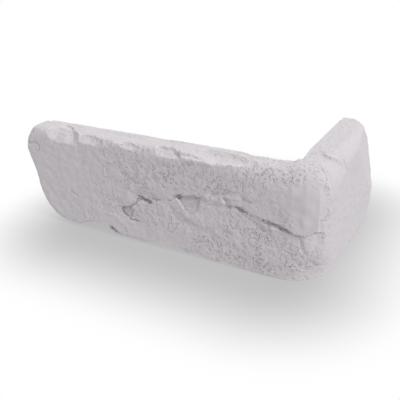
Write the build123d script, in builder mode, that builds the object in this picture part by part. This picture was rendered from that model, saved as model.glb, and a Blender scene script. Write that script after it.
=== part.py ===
from build123d import *

import os

# Corner brick slip: an L-shaped cast veneer piece that turns the outer corner of a wall.
#
# The frame's origin is the wall's own arris at the bed: the two back planes meet there. The long leg
# runs along -X with its face towards -Y, the short leg runs along +Y with its face towards +X, and the
# piece stands on its bed at Z = 0. All sizes are in millimetres.

# Overall sizes
stretcher_length = 203.5  # outside length of the long leg, out to the corner's two face planes
header_length = 106.0  # outside length of the short leg, measured the same way
height = 65.0
stretcher_thickness = 19.0
header_thickness = 21.5

# Roundings of the worn outline
corner_radius = 12.0  # upright arris between the two faces, seen from above
inner_radius = 6.0  # upright fillet where the two backs meet
arris_radius = 4.8  # rolled edge round both faces

# The free ends, seen square on. Each end bulges out most at its knuckle and draws in from there to its
# top and to its bed
stretcher_knuckle = 51.0
stretcher_draw_top = 3.2
stretcher_draw_bed = 14.0
stretcher_top_radius = 6.5
stretcher_bed_radius = 25.0
header_knuckle = 28.0
header_draw_top = 2.5
header_draw_bed = 1.0
header_top_radius = 6.0
header_bed_radius = 15.0
knuckle_radius = 8.0

# Corners knocked off by flat cuts: how deep each goes in from the sharp corner
stretcher_tip_chip = 6.2
header_face_chip = 8.0  # the wide flat one over the upper end of the short leg's face
header_tip_chip = 11.8
corner_bed_chip = 10.6

# Scooped chips along the edges of the faces: distance from the corner to the middle of the chip, its
# length along the edge, its depth in from the edge's sharp line, and its lean: 1 cuts the face as much
# as the top or the bed, and less cuts more off the top or the bed
top_chips_of_stretcher = [
    (67.0, 44.0, 4.3, 0.45),
    (91.0, 26.0, 3.9, 0.42),
    (148.0, 24.0, 3.2, 0.6),
    (170.0, 34.0, 5.2, 0.66),
    (25.0, 50.0, 3.5, 1.0),
]
bed_chips_of_stretcher = [(137.0, 9.0, 3.4, 1.0), (152.0, 34.0, 6.0, 0.5), (98.0, 32.0, 4.0, 0.5)]
top_chips_of_header = [(42.0, 74.0, 3.5, 1.0)]

# The fracture across the long face, as pockets in it. Each point is a distance from the corner and a
# height above the bed, both on the face
fracture_depth = 3.4
fracture = [
    (49.8, 40.2),
    (45.5, 40.4),
    (40.5, 37.4),
    (33.5, 36.0),
    (24.0, 34.4),
    (20.5, 33.4),
    (14.6, 31.2),
    (9.0, 30.8),
    (3.0, 33.6),
    (3.0, 32.0),
    (9.6, 29.2),
    (15.6, 29.6),
    (22.6, 30.6),
    (28.0, 33.4),
    (37.5, 34.2),
    (44.5, 37.0),
]
flake_bed_depth = 2.2  # where a flake has come off, left of the fracture
flake_bed = [(88.5, 38.6), (84.3, 40.4), (72.0, 41.4), (72.6, 36.0), (75.0, 31.0), (80.4, 28.6)]
hook_depth = 2.6  # the groove that bends round a flake at the fracture's left end
hook = [
    (127.4, 20.8),
    (126.2, 23.2),
    (120.6, 24.4),
    (114.2, 32.6),
    (105.6, 32.8),
    (105.2, 29.8),
    (110.2, 30.0),
    (116.4, 26.8),
    (119.8, 23.2),
    (120.8, 17.8),
    (125.4, 17.4),
]

# Below the fracture the face lies back behind a slanted plane. It meets the plain face along a line from
# this far along the fracture's level down to the corner just above the bed
setback = 1.7  # at the corner, at the fracture's level
setback_length = 95.0
setback_top = 31.0
setback_foot = 6.0
setback_edge = [  # its upper edge along the fracture, from past the corner
    (-6.0, 33.0),
    (3.0, 33.0),
    (9.2, 30.0),
    (15.0, 30.4),
    (24.0, 32.6),
    (38.0, 35.6),
    (49.8, 40.2),
    (60.0, 41.6),
    (70.0, 36.0),
]

# Places that follow from the sizes
face_y = -stretcher_thickness  # plane of the long face
face_x = header_thickness  # plane of the short face
stretcher_end = face_x - stretcher_length
header_end = face_y + header_length
through = 2 * (stretcher_length + header_length)  # longer than any cut needs

# Sketch planes on the two faces, with the distance from the corner first and the height second.
# Their normals point into the piece
stretcher_face = Plane(origin=(face_x, face_y, 0), x_dir=(-1, 0, 0), z_dir=(0, 1, 0))
header_face = Plane(origin=(face_x, face_y, 0), x_dir=(0, 1, 0), z_dir=(1, 0, 0))


def scoop(place, outward, length, depth):
    """A ball that scoops a chip of this length and depth out of an edge at a point on its sharp line."""
    radius = (length**2 / 4 + depth**2) / (2 * depth)
    with Locations(Vector(place) + Vector(outward).normalized() * (radius - depth)):
        Sphere(radius, mode=Mode.SUBTRACT)


def leg_outline(length, knuckle, draw_top, draw_bed, top_radius, bed_radius):
    """A leg seen square on, from the corner at 0 out to its free end."""
    end = [(length - draw_top, height), (length, knuckle), (length - draw_bed, 0)]
    with BuildSketch() as outline:
        with BuildLine():
            Polyline((0, 0), (0, height), *end, close=True)
        make_face()
        for point, radius in zip(end, (top_radius, knuckle_radius, bed_radius)):
            fillet(outline.vertices().sort_by_distance(point)[0], radius)
    return outline.sketch


os.makedirs("parts", exist_ok=True)

with BuildPart() as corner_brick_slip:
    # The L in plan, its corner rounded outside and inside
    with BuildSketch() as plan:
        with BuildLine():
            Polyline(
                (stretcher_end, face_y),
                (face_x, face_y),
                (face_x, header_end),
                (0, header_end),
                (0, 0),
                (stretcher_end, 0),
                close=True,
            )
        make_face()
        fillet(plan.vertices().sort_by_distance((face_x, face_y))[0], corner_radius)
        fillet(plan.vertices().sort_by_distance((0, 0))[0], inner_radius)
    extrude(amount=height)

    # Each leg seen square on, with its worn free end
    with BuildSketch(stretcher_face):
        add(
            leg_outline(
                stretcher_length,
                stretcher_knuckle,
                stretcher_draw_top,
                stretcher_draw_bed,
                stretcher_top_radius,
                stretcher_bed_radius,
            )
        )
    extrude(amount=through, both=True, mode=Mode.INTERSECT)
    with BuildSketch(header_face):
        add(
            leg_outline(
                header_length,
                header_knuckle,
                header_draw_top,
                header_draw_bed,
                header_top_radius,
                header_bed_radius,
            )
        )
    extrude(amount=through, both=True, mode=Mode.INTERSECT)

    # The rolled edge runs in one loop round both faces and the rounded corner between them
    skin = (
        corner_brick_slip.faces().group_by(Axis.Y)[0]
        + corner_brick_slip.faces().group_by(Axis.X)[-1]
        + corner_brick_slip.faces().filter_by(GeomType.CYLINDER).sort_by_distance((face_x, face_y, height / 2))[:1]
    )
    skin_edges = skin.edges()
    fillet([edge for edge in skin_edges if skin_edges.count(edge) == 1], arris_radius)

    # Corners knocked off: all that stands above each slanted plane goes
    knocked_corners = [
        ((stretcher_end, face_y, height), (-0.8, -1.0, 0.9), stretcher_tip_chip),
        ((face_x, header_end, height), (1.0, 0.16, 0.18), header_face_chip),
        ((face_x, header_end, height), (0.8, 0.6, 0.7), header_tip_chip),
        ((face_x, face_y, 0), (1.0, -1.0, -1.2), corner_bed_chip),
    ]
    for corner, outward, depth in knocked_corners:
        with BuildSketch(Plane(origin=corner, z_dir=outward).offset(-depth)):
            Rectangle(through, through)
        extrude(amount=height, mode=Mode.SUBTRACT)

    # Chips scooped out of the edges
    for distance, length, depth, lean in top_chips_of_stretcher:
        scoop((face_x - distance, face_y, height), (0, -lean, 1), length, depth)
    for distance, length, depth, lean in bed_chips_of_stretcher:
        scoop((face_x - distance, face_y, 0), (0, -lean, -1), length, depth)
    for distance, length, depth, lean in top_chips_of_header:
        scoop((face_x, face_y + distance, height), (lean, 0, 1), length, depth)

    # The lower face lies back behind a slanted plane through three points of the hollow
    deepest = stretcher_face.from_local_coords((0, setback_top, setback))
    foot = stretcher_face.from_local_coords((0, setback_foot, 0))
    far_point = stretcher_face.from_local_coords((setback_length, setback_top, 0))
    slant = (far_point - foot).cross(deepest - foot)
    slanted = Plane(origin=foot, x_dir=stretcher_face.x_dir, z_dir=slant)
    rest = [(setback_length, setback_top), (setback_length, -height), (setback_edge[0][0], -height)]
    with BuildSketch(slanted):
        with BuildLine():
            Polyline(*[(along, up - setback_foot) for along, up in setback_edge + rest], close=True)
        make_face()
    extrude(amount=-stretcher_thickness, mode=Mode.SUBTRACT)

    # The fracture, the flake bed beside it and the hooked groove at its end
    for outline, depth in [(fracture, fracture_depth), (flake_bed, flake_bed_depth), (hook, hook_depth)]:
        with BuildSketch(stretcher_face):
            with BuildLine():
                Polyline(*outline, close=True)
            make_face()
        extrude(amount=depth, mode=Mode.SUBTRACT)

corner_brick_slip.part.label = "corner_brick_slip"
export_step(corner_brick_slip.part, "parts/corner_brick_slip.step")
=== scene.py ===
"""Corner brick slip, dressed: the worn cast body with its fracture and chips, and the stage it stands on.

The shaping code works in millimetres on the slip's own faces: u runs from the sharp corner along the long
face, v from the same corner along the short face, and z up from the bed. Everything put in the scene is in
metres.
"""

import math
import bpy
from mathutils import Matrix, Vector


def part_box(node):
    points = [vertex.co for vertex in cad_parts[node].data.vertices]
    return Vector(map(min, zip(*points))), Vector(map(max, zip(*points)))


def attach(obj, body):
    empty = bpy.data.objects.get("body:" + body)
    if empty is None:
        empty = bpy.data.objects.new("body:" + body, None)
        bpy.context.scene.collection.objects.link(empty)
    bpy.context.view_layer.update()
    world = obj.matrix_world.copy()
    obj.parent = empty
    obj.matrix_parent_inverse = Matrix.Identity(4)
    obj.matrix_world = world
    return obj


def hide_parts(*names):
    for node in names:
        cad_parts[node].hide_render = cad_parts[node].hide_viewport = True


bl_info = {
    "name": "Corner Brick Slip",
    "version": (1, 0, 0),
    "blender": (4, 5, 0),
    "location": "View3D > Sidebar > Brick Slip",
    "description": "Shapes and finishes a cast corner brick slip and sets a plain stage round it",
    "category": "Object",
}

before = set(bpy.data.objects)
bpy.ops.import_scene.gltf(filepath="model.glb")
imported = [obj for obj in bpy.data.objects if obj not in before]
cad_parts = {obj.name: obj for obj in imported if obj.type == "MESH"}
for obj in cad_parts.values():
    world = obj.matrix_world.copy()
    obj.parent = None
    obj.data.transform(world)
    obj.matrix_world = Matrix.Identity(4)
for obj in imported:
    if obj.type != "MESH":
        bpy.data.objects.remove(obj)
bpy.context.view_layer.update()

import bmesh
import bpy
import numpy as np
from bpy.props import FloatProperty, FloatVectorProperty, IntProperty, PointerProperty
from mathutils import Matrix, Vector

NODE = "corner_brick_slip"
BODY = "worn_slip_body"
MM = 0.001

low, high = (Vector(corner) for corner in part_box(NODE))

# Mesh limits
FEWEST_FACES = 1000  # a body with fewer has gone wrong
MOST_TRIANGLES = 188000

# Wavering of the surface: size of the swells and seed, and how far they move each kind of mark, in mm
SKIN_WAVERS = [(5.0, 31), (5.0, 32), (11.0, 33)]
EDGE_WAVER = 0.35
FACE_WAVER = 0.45
HEADER_WAVER = 0.4
PATCH_WAVER = (17.0, 51)  # of the busier patches: size and seed
PROBE = 0.06  # how far apart the surface is measured for its slope, in mm

# Moulded skin: sizes of its swells in mm, and the mould's slanting strokes
LUMP_SIZE = 15.0
GRAIN_SIZE = 2.8
CREASE_SIZE = 2.6
CREASE_PATCH_SIZE = 7.0
STROKE_SLANT = math.radians(-42)
STROKE_DRAW = (0.3, 1.0, 1.0)
SMALLEST_PIT = 0.35  # as a share of the largest
PIT_DEPTH = 0.42  # as a share of its radius
PER_SQUARE_DECIMETRE = 100.0
RELIEF_TURNS = 14  # rounds of smoothing that the relief is measured against
DEEPEST_RELIEF = 0.55  # in mm

# Stage: the floor, its painted soft shade (from the part's box, in metres) and the camera
FLOOR_RADIUS = 2.5
FLOOR_DEPTH = 0.1
SHADE_SHIFT = Vector((0.009, -0.004, 0.0))
SHADE_INSET = Vector((0.043, 0.0125, 0.0))
SHADE_REACH = (0.014, 0.088)
SHADOW_REACH = (0.04, 0.1)
CAMERA_PLACE = (0.0928, -0.2730, 0.1790)
CAMERA_ANGLES = (29.5, 25.58, -1.61)  # its turn, its height above level and its roll, in degrees


# Sizes to change


def length_of(name, about, default):
    """A length that can be changed, in metres."""
    return FloatProperty(name=name, description=about, default=default, unit="LENGTH")


def colour_of(name, about, default):
    """A colour that can be changed."""
    return FloatVectorProperty(name=name, description=about, default=default, subtype="COLOR")


class SlipSizes(bpy.types.PropertyGroup):
    """The cast body before it wears."""

    stretcher_thickness: length_of("Stretcher Thickness", "From the long face to its back", -low.y)
    header_thickness: length_of("Header Thickness", "From the short face to its back", high.x)
    stretcher_length: length_of(
        "Stretcher Length", "Along the long face, at its widest", high.x - low.x + 0.25 * MM
    )
    header_length: length_of("Header Length", "Along the short face, at its widest", high.y - low.y)
    height: length_of("Height", "From bed to top", high.z)
    corner_radius: length_of("Corner Radius", "Upright arris between the faces", 12 * MM)
    inner_radius: length_of("Inner Radius", "Fillet where the backs meet", 6 * MM)
    arris_radius: length_of("Arris Radius", "Rolled edge round both faces", 4.8 * MM)
    cell: length_of("Mesh Cell", "Size of the finest mesh faces", 0.62 * MM)


class WearSizes(bpy.types.PropertyGroup):
    """Relief of the moulded skin."""

    lump: length_of("Lump Height", "Broad unevenness of the skin", 0.36 * MM)
    grain: length_of("Grain Height", "Fine unevenness of the skin", 0.1 * MM)
    crease: length_of("Crease Depth", "Slanting creases from the mould", 0.22 * MM)
    pit: length_of("Pit Radius", "Largest air pit in the skin", 1.1 * MM)
    pits: IntProperty(name="Pits", description="Air pits per square decimetre", default=140, min=0)
    seed: IntProperty(name="Seed", description="Picks another skin of the same kind", default=4)


class FinishLooks(bpy.types.PropertyGroup):
    """Colours of the dry cast body, with a painted shade for its hollows and a painted highlight for its
    proud edges.
    """

    body: colour_of("Body", "Off-white of the cast body", (0.614, 0.581, 0.607))
    # Painted shade: a greyer colour laid into the sunk places, where shade falls
    hollow_shade: colour_of("Hollow", "Greyer: painted shade in the hollows", (0.42, 0.40, 0.413))
    # Painted highlight: a paler colour laid on the proud edges and ridges
    edge_highlight: colour_of("Rub", "Paler: painted highlight on proud edges", (0.76, 0.73, 0.75))
    roughness: FloatProperty(name="Roughness", description="Dry and chalky", default=0.92, min=0, max=1)


class StageLooks(bpy.types.PropertyGroup):
    """Floor, lights and camera."""

    side: FloatProperty(name="Side Light", description="Strength of the light from the right", default=1.45)
    top: FloatProperty(name="Top Light", description="Strength of the wide light from above", default=1.02)
    sky: FloatProperty(name="Sky", description="Strength of the surrounding light", default=0.6)
    # Painted shade on the floor beside the slip, laid on by distance and not cast by the lights
    shade: FloatProperty(name="Shade", description="How dark the painted shade beside the slip is", default=0.46)
    cast_shadow: FloatProperty(name="Cast Shadow", description="Share of the real shadow in it", default=0.25)
    lens: FloatProperty(name="Lens", description="Focal length", default=51.58, unit="CAMERA")


# Shaping: common measures


def step(start, end, value):
    """Runs smoothly from 0 at start to 1 at end."""
    share = np.clip((value - start) / (end - start), 0, 1)
    return share * share * (3 - 2 * share)


def wander(points, size, seed):
    """Smooth random values from about -1 to 1, with swells of this size."""
    scaled = points / size
    cell = np.floor(scaled).astype(np.int64)
    within = scaled - cell
    fade = within**3 * (within * (within * 6 - 15) + 10)
    total = np.zeros(len(points))
    for corner in np.ndindex(2, 2, 2):
        at = (cell + corner).astype(np.uint32)
        mixed = at[:, 0] * np.uint32(0x8DA6B343) ^ at[:, 1] * np.uint32(0xD8163841)
        mixed ^= at[:, 2] * np.uint32(0xCB1AB31F)
        mixed ^= np.uint32(seed * 7919 + 17)
        mixed = (mixed ^ (mixed >> np.uint32(15))) * np.uint32(0x2C1B3C6D)
        mixed = (mixed ^ (mixed >> np.uint32(12))) * np.uint32(0x297A2D39)
        mixed ^= mixed >> np.uint32(15)
        parts = [(mixed >> np.uint32(shift)) & np.uint32(255) for shift in (0, 8, 16)]
        slope = np.stack(parts, axis=1) / 127.5 - 1
        rise = (slope * (within - corner)).sum(axis=1)
        total += rise * np.prod(np.where(corner, fade, 1 - fade), axis=1)
    return total * 1.5


def rounded(first, second, radius, lean=0.0):
    """Two surfaces that meet in a convex edge of this radius; lean is the cosine between their outsides."""
    a, b = first + radius, second + radius
    reach_a = (a - lean * b) / (1 - lean * lean)
    reach_b = (b - lean * a) / (1 - lean * lean)
    edge = np.sqrt(np.maximum(reach_a**2 + reach_b**2 + 2 * lean * reach_a * reach_b, 0)) - radius
    return np.where((reach_a > 0) & (reach_b > 0), edge, np.maximum(first, second))


def near(line, across, up, reach):
    """Which points lie within this reach of a line's box."""
    line = np.asarray(line)
    return np.nonzero(
        (across > line[:, 0].min() - reach)
        & (across < line[:, 0].max() + reach)
        & (up > line[:, 1].min() - reach)
        & (up < line[:, 1].max() + reach)
    )[0]


def along(line, across, up):
    """Distance to a broken line, the same with a sign (positive on its right), and its other columns."""
    line = np.asarray(line, dtype=float)
    best = np.full(len(across), np.inf)
    signed = np.zeros(len(across))
    values = np.zeros((len(across), line.shape[1] - 2))
    for start, end in zip(line[:-1], line[1:]):
        run = end[:2] - start[:2]
        length = max(float(np.hypot(*run)), 1e-6)
        share = np.clip(((across - start[0]) * run[0] + (up - start[1]) * run[1]) / length**2, 0, 1)
        gap = np.hypot(across - start[0] - share * run[0], up - start[1] - share * run[1])
        side = ((across - start[0]) * run[1] - (up - start[1]) * run[0]) / length
        closer = gap < best
        best = np.where(closer, gap, best)
        signed = np.where(closer, np.where(side >= 0, gap, -gap), signed)
        here = start[2:] + share[:, None] * (end[2:] - start[2:])
        values = np.where(closer[:, None], here, values)
    return best, signed, values


def inside(outline, across, up):
    """Distance to a closed outline, positive within it, and its third column at the nearest place."""
    outline = np.asarray(outline, dtype=float)
    best = np.full(len(across), np.inf)
    third = np.zeros(len(across))
    within = np.zeros(len(across), dtype=bool)
    for start, end in zip(outline, np.roll(outline, -1, axis=0)):
        run = (end - start)[:2]
        share = np.clip(((across - start[0]) * run[0] + (up - start[1]) * run[1]) / (run @ run), 0, 1)
        gap = np.hypot(across - start[0] - share * run[0], up - start[1] - share * run[1])
        closer = gap < best
        best = np.where(closer, gap, best)
        third = np.where(closer, start[2] + share * (end[2] - start[2]), third)
        crosses = (start[1] > up) != (end[1] > up)
        rise = np.where(crosses, end[1] - start[1], 1)
        within ^= crosses & (across < start[0] + (up - start[1]) / rise * run[0])
    return np.where(within, best, -best), third


def carve(depth, grooves, across, up, reach):
    """Adds grooves to a depth. A groove's point has its half width and its depth after its place."""
    for line in grooves:
        at = near(line, across, up, reach)
        if len(at):
            gap, _, values = along(line, across[at], up[at])
            half, deep = values.T
            depth[at] += deep * (1 - step(0.25, 1.0, gap / half))


def drop_beside(depth, scarps, across, up):
    """Adds scarps to a depth: the ground on one side of each lies lower, less so out to its reach."""
    for line, side, soft, reach in scarps:
        at = near(line, across, up, reach)
        if len(at):
            _, signed, drop = along(line, across[at], up[at])
            signed = signed * side
            depth[at] += drop[:, 0] * step(-soft, soft, signed) * (1 - step(0.15 * reach, reach, signed))


# Shaping: the features, in millimetres

# Free ends seen square on: height of the knuckle, and how far the top and the bed draw in from it
STRETCHER_END = {"knuckle": 51.0, "top": 3.2, "bed": 14.0, "top_radius": 4.8, "bed_radius": 25.0}
HEADER_END = {"knuckle": 28.0, "top": 2.5, "bed": 1.0, "top_radius": 6.0, "bed_radius": 15.0}
KNUCKLE_RADIUS = 8.0
END_SWELLS = [(1.3, 21, 10), (0.8, 46, 5)]  # of the long leg's end: how far out, height and half height

# The top: a low rise along the short leg that starts on a slant, and two dips in the long leg
RISE = 1.5
RISE_START = 32.8  # along the short face
RISE_SLANT = 0.5  # how much sooner it starts for each millimetre back from that face
RISE_SLANT_END = 12.0  # how far back the slant goes on
RISE_LENGTH = 1.6
RISE_SOFTER = 8.0  # how much longer the rise is near the back
DIP = 1.3
END_DIP = 0.9

# The rolled edge: how much wider or narrower it is worn, by place
TOP_ARRIS_WIDER = 4.0
CORNER_ARRIS_WIDER = 5.0
BED_ARRIS_SHARPER = 3.1
TOP_ARRIS_SHARPER = 3.9
SHARP_STRETCHES = [(76.4, 17.0), (124.8, 9.0)]  # of the top edge: u at the middle, half length

# The corner: its radius is smaller above the fracture and larger at the foot. Above the fracture it is
# broken to three flats: a point (u, v) on each and its way out
CORNER_SHARPER = 7.0
FOOT_ROUNDER = 15.0
CORNER_FLATS = [((18.8, 0.0), (0.09, 0.996)), ((11.0, 0.7), (0.308, 0.951)), ((3.9, 3.0), (0.84, 0.545))]

# The short face: a low belly (v and z of its middle, and its half sizes) and a lean at its far top
BELLY = 1.3
BELLY_AT = (84, 30)
BELLY_HALF = (24, 18)
HEADER_LEAN = 1.2

# The camera-side slant at which a mark on the rounded corner was measured: across and up, for each step back
SLANT_ACROSS = 0.566
SLANT_UP = 0.55

# The level of the fracture along the long face: below it the face lies back
LIP = np.array(
    [
        (-9.0, 36.5), (0.0, 35.5), (4.2, 34.8), (5.9, 32.8), (10.0, 30.6), (14.6, 30.9), (17.4, 31.8),
        (21.0, 33.5), (23.8, 34.5), (27.4, 35.0), (33.5, 36.1), (40.5, 37.5), (45.7, 40.8), (49.5, 40.2),
        (53.0, 40.0), (58.0, 40.0), (66.0, 40.6), (71.7, 41.2), (76.9, 41.4), (84.5, 40.3), (88.8, 38.4),
        (92.0, 34.7), (240.0, 33.0),
    ]
)
SETBACK = 1.9
SETBACK_REACH = 95.0
SETBACK_FOOT = 6.0
SETBACK_TOP = 31.0

# Grooves in the long face: u, z, half width, depth
GROOVES = [
    # under the lip of the fracture
    [
        (51.2, 39.6, 0.6, 0.2), (48.6, 39.2, 1.6, 1.8), (45.4, 38.5, 1.8, 2.0), (43.0, 37.5, 1.2, 1.4),
        (40.5, 36.4, 0.5, 1.0), (33.5, 35.0, 0.5, 1.0), (27.4, 33.7, 1.2, 1.3), (23.8, 32.9, 1.5, 1.6),
        (21.0, 32.0, 1.4, 1.6), (17.4, 30.9, 1.0, 1.4), (14.6, 30.4, 0.7, 1.3), (11.4, 30.0, 0.6, 0.8),
        (8.8, 30.4, 0.5, 0.0),
    ],
    # its lower branch
    [
        (47.7, 37.4, 0.6, 0.6), (44.6, 35.8, 0.55, 0.8), (41.3, 34.0, 0.55, 0.8), (37.9, 32.0, 0.55, 0.9),
        (34.3, 29.4, 0.6, 1.0), (31.0, 28.9, 0.5, 0.6), (28.0, 29.4, 0.4, 0.0),
    ],
    # the branch that runs down from it
    [
        (12.6, 29.4, 0.8, 0.4), (12.0, 27.0, 1.7, 0.7), (11.6, 24.6, 1.7, 0.6), (10.6, 21.8, 1.5, 0.6),
        (9.0, 18.6, 1.0, 0.0),
    ],
    # rough hollows at its left end
    [(67.6, 42.8, 0.8, 0.0), (65.0, 44.3, 1.5, 0.5), (62.7, 45.4, 1.5, 0.4), (58.5, 45.8, 1.2, 0.2)],
    [
        (69.0, 42.4, 1.2, 0.0), (64.6, 45.0, 2.6, 0.8), (59.4, 46.9, 3.2, 1.0), (54.0, 47.4, 2.8, 1.0),
        (49.6, 47.2, 1.4, 0.0),
    ],
    [(57.6, 43.2, 1.3, 0.6), (55.6, 42.4, 2.0, 1.5), (54.6, 40.6, 2.2, 1.8), (54.0, 39.2, 1.4, 0.9)],
    [
        (72.0, 37.6, 0.6, 0.0), (66.0, 37.2, 1.2, 0.4), (59.0, 37.8, 1.6, 0.6), (55.0, 38.8, 1.5, 0.8),
        (52.0, 40.0, 1.0, 0.4),
    ],
    [(50.0, 46.4, 1.0, 0.0), (46.0, 45.4, 1.6, 0.7), (42.0, 44.4, 1.6, 0.9), (38.6, 43.2, 1.0, 0.0)],
    [(53.0, 43.2, 0.6, 0.4), (48.8, 43.6, 0.7, 0.6), (45.0, 43.0, 0.5, 0.0)],
    # the hook: a dark bar, a thin run down from it and a deep bend with its tail
    [
        (115.8, 32.4, 0.9, 1.4), (112.0, 32.0, 1.7, 2.6), (109.0, 31.2, 2.0, 3.0), (106.9, 30.9, 1.9, 2.8),
        (105.2, 30.8, 0.9, 0.6),
    ],
    [
        (115.2, 31.6, 1.0, 1.5), (117.1, 28.2, 1.1, 1.5), (120.4, 25.6, 1.2, 1.6), (122.6, 24.0, 1.3, 1.8),
        (126.6, 23.0, 1.5, 2.2),
    ],
    [
        (127.0, 22.6, 1.3, 1.0), (127.4, 20.6, 1.5, 1.4), (125.8, 18.2, 1.4, 1.4), (122.8, 16.4, 1.2, 1.5),
        (120.5, 15.8, 0.9, 1.4), (116.8, 15.3, 0.6, 0.7), (113.0, 15.7, 0.5, 0.0),
    ],
    # the thin line that runs on from it to the recess
    [
        (104.2, 32.7, 0.5, 0.0), (102.4, 33.0, 0.7, 0.7), (97.4, 33.8, 0.7, 0.7), (91.6, 35.2, 0.6, 0.6),
        (88.9, 37.2, 0.8, 1.0),
    ],
    # under the top edge of the recess and down its left side
    [
        (89.8, 37.8, 1.0, 1.0), (86.9, 38.9, 1.5, 1.9), (84.0, 39.1, 1.5, 1.8), (77.4, 40.2, 1.3, 1.6),
        (71.8, 40.6, 1.1, 0.7),
    ],
    [(86.2, 38.4, 0.6, 1.6), (83.3, 33.7, 0.6, 1.5), (80.6, 29.2, 0.5, 1.1), (78.4, 27.6, 0.4, 0.0)],
    # scratches on the smooth third
    [(169.2, 27.0, 0.6, 0.0), (167.6, 26.0, 0.8, 0.9), (164.8, 24.2, 0.8, 0.9), (163.2, 23.1, 0.6, 0.0)],
    [(182.2, 37.6, 0.6, 0.0), (180.0, 36.4, 0.8, 0.5), (177.6, 35.1, 0.6, 0.0)],
    [(173.0, 46.2, 0.6, 0.0), (171.0, 45.0, 0.7, 0.3), (168.6, 43.7, 0.6, 0.0)],
    # a ring round a small boss near the far end
    [
        (197.4, 52.6, 0.8, 0.0), (196.6, 54.6, 0.9, 0.7), (194.2, 55.4, 0.9, 0.7), (191.6, 54.2, 0.9, 0.8),
        (191.0, 51.4, 0.9, 0.8), (192.6, 49.2, 0.8, 0.5), (195.0, 48.8, 0.7, 0.0),
    ],
    # soft dark line down the far end
    [(175.6, 64.0, 1.0, 0.6), (177.7, 58.0, 1.2, 0.5), (179.1, 52.4, 1.0, 0.0)],
    # long creases above the fracture
    [(141.5, 63.5, 0.8, 0.2), (138.9, 55.6, 0.9, 0.4), (135.0, 52.6, 0.7, 0.0)],
    [(115.6, 58.2, 0.7, 0.0), (113.4, 54.6, 0.8, 0.6), (111.2, 51.4, 0.7, 0.0)],
    [(105.8, 49.0, 0.7, 0.0), (103.0, 46.2, 0.8, 0.6), (100.6, 43.4, 0.7, 0.0)],
    [(88.3, 58.6, 0.7, 0.0), (86.0, 54.8, 0.9, 0.5), (84.0, 51.4, 0.7, 0.0)],
    [(127.8, 47.2, 0.7, 0.0), (124.6, 44.2, 0.8, 0.5), (121.4, 41.4, 0.7, 0.0)],
    [(99.3, 45.2, 0.6, 0.0), (96.8, 43.2, 0.8, 0.6), (94.5, 41.4, 0.6, 0.0)],
    [(141.8, 41.4, 0.6, 0.0), (138.2, 41.3, 0.8, 0.5), (134.9, 41.0, 0.6, 0.0)],
    # notches near the bed
    [
        (140.4, 7.2, 0.8, 0.0), (138.6, 6.0, 1.6, 1.8), (135.6, 4.6, 1.7, 2.4), (132.6, 3.8, 1.0, 0.6),
        (130.8, 3.4, 0.6, 0.0),
    ],
    [(126.4, 2.6, 0.8, 0.0), (124.2, 2.4, 1.0, 0.8), (122.0, 2.3, 0.8, 0.0)],
    [(50.6, 8.0, 0.8, 0.0), (48.0, 8.6, 1.2, 0.7), (45.6, 7.8, 1.1, 0.7), (43.0, 6.6, 0.8, 0.0)],
]

# Where the long face's skin is busier or smoother: middle (u, z), half sizes, change
SKIN_PATCHES = [
    ((11.0, 48.0), (9.5, 15.0), -0.9),
    ((188.0, 36.0), (36.0, 28.0), -0.25),
    ((116.0, 9.0), (28.0, 9.0), -0.35),
    ((40.0, 15.0), (38.0, 14.0), 0.5),
    ((76.0, 53.0), (32.0, 9.0), 0.55),
    ((112.0, 20.0), (14.0, 8.0), 0.4),
    ((120.0, 48.0), (24.0, 12.0), 0.35),
]

# Small scarps in the long face: u, z, drop. Then the side that lies lower (1 for the line's right), how soft
# the step is and how far the lower ground reaches
SCARPS = [
    # the flake that ends in a bright diagonal edge below the recess
    (
        [
            (92.6, 31.8, 0.0), (91.4, 30.8, 0.6), (87.4, 28.4, 0.9), (82.8, 25.5, 1.1), (76.4, 22.9, 0.9),
            (69.6, 22.2, 0.5), (63.8, 23.2, 0.0),
        ],
        -1, 0.45, 9.0,
    ),
    # the step from the hook to the recess
    (
        [(105.0, 32.6, 0.7), (102.3, 33.4, 0.6), (96.8, 33.8, 0.55), (91.8, 34.7, 0.6), (88.6, 37.2, 0.9)],
        1, 0.35, 7.0,
    ),
    # the hook's own edge
    (
        [
            (104.8, 32.4, 0.8), (109.8, 33.4, 1.0), (115.0, 33.4, 0.9), (118.0, 28.6, 0.7),
            (122.6, 25.2, 0.7), (127.6, 24.0, 0.8), (129.0, 20.4, 0.7), (124.6, 15.6, 0.5),
            (117.6, 14.6, 0.0),
        ],
        -1, 0.4, 7.0,
    ),
    # the low band that runs on from the hook's tail
    (
        [
            (147.8, 17.6, 0.0), (140.0, 16.6, 0.35), (132.0, 15.7, 0.4), (122.9, 14.8, 0.35),
            (112.0, 14.0, 0.0),
        ],
        1, 0.9, 9.0,
    ),
]

# Hollows in the long face: outline (u, z, width of the wall), then the depth at a place (u, z) and what it
# gains for each millimetre of u and of z
RECESS = [
    (89.6, 38.4, 0.5), (84.8, 40.9, 0.5), (83.4, 39.8, 0.4), (76.9, 41.8, 0.5), (71.3, 41.4, 0.8),
    (72.0, 36.0, 1.6), (73.6, 31.2, 2.0), (78.3, 28.2, 1.2), (81.2, 28.6, 0.8), (86.6, 36.6, 0.6),
]
RECESS_DEPTH = (72.0, 29.0, 0.5, 0.02, 0.2)
HOOK_POCKET = [
    (128.8, 23.6, 0.6), (125.4, 24.6, 0.6), (120.6, 24.8, 0.7), (119.2, 21.6, 1.0), (120.0, 18.2, 1.0),
    (123.2, 16.2, 0.6), (127.4, 17.6, 0.6), (129.2, 20.6, 0.6),
]
HOOK_POCKET_DEPTH = (119.0, 17.0, 1.0, 0.17, 0.05)
POCKETS = [(RECESS, RECESS_DEPTH), (HOOK_POCKET, HOOK_POCKET_DEPTH)]

# A thin flake that stands proud under the fracture
LEFT_FLAKE_HEIGHT = 0.7
LEFT_FLAKE = [
    (39.0, 33.9, 0.6), (30.0, 33.2, 0.6), (24.4, 31.6, 0.6), (23.0, 30.4, 0.6), (27.3, 29.9, 0.6),
    (31.8, 30.1, 0.6), (35.4, 32.2, 0.6),
]

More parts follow.
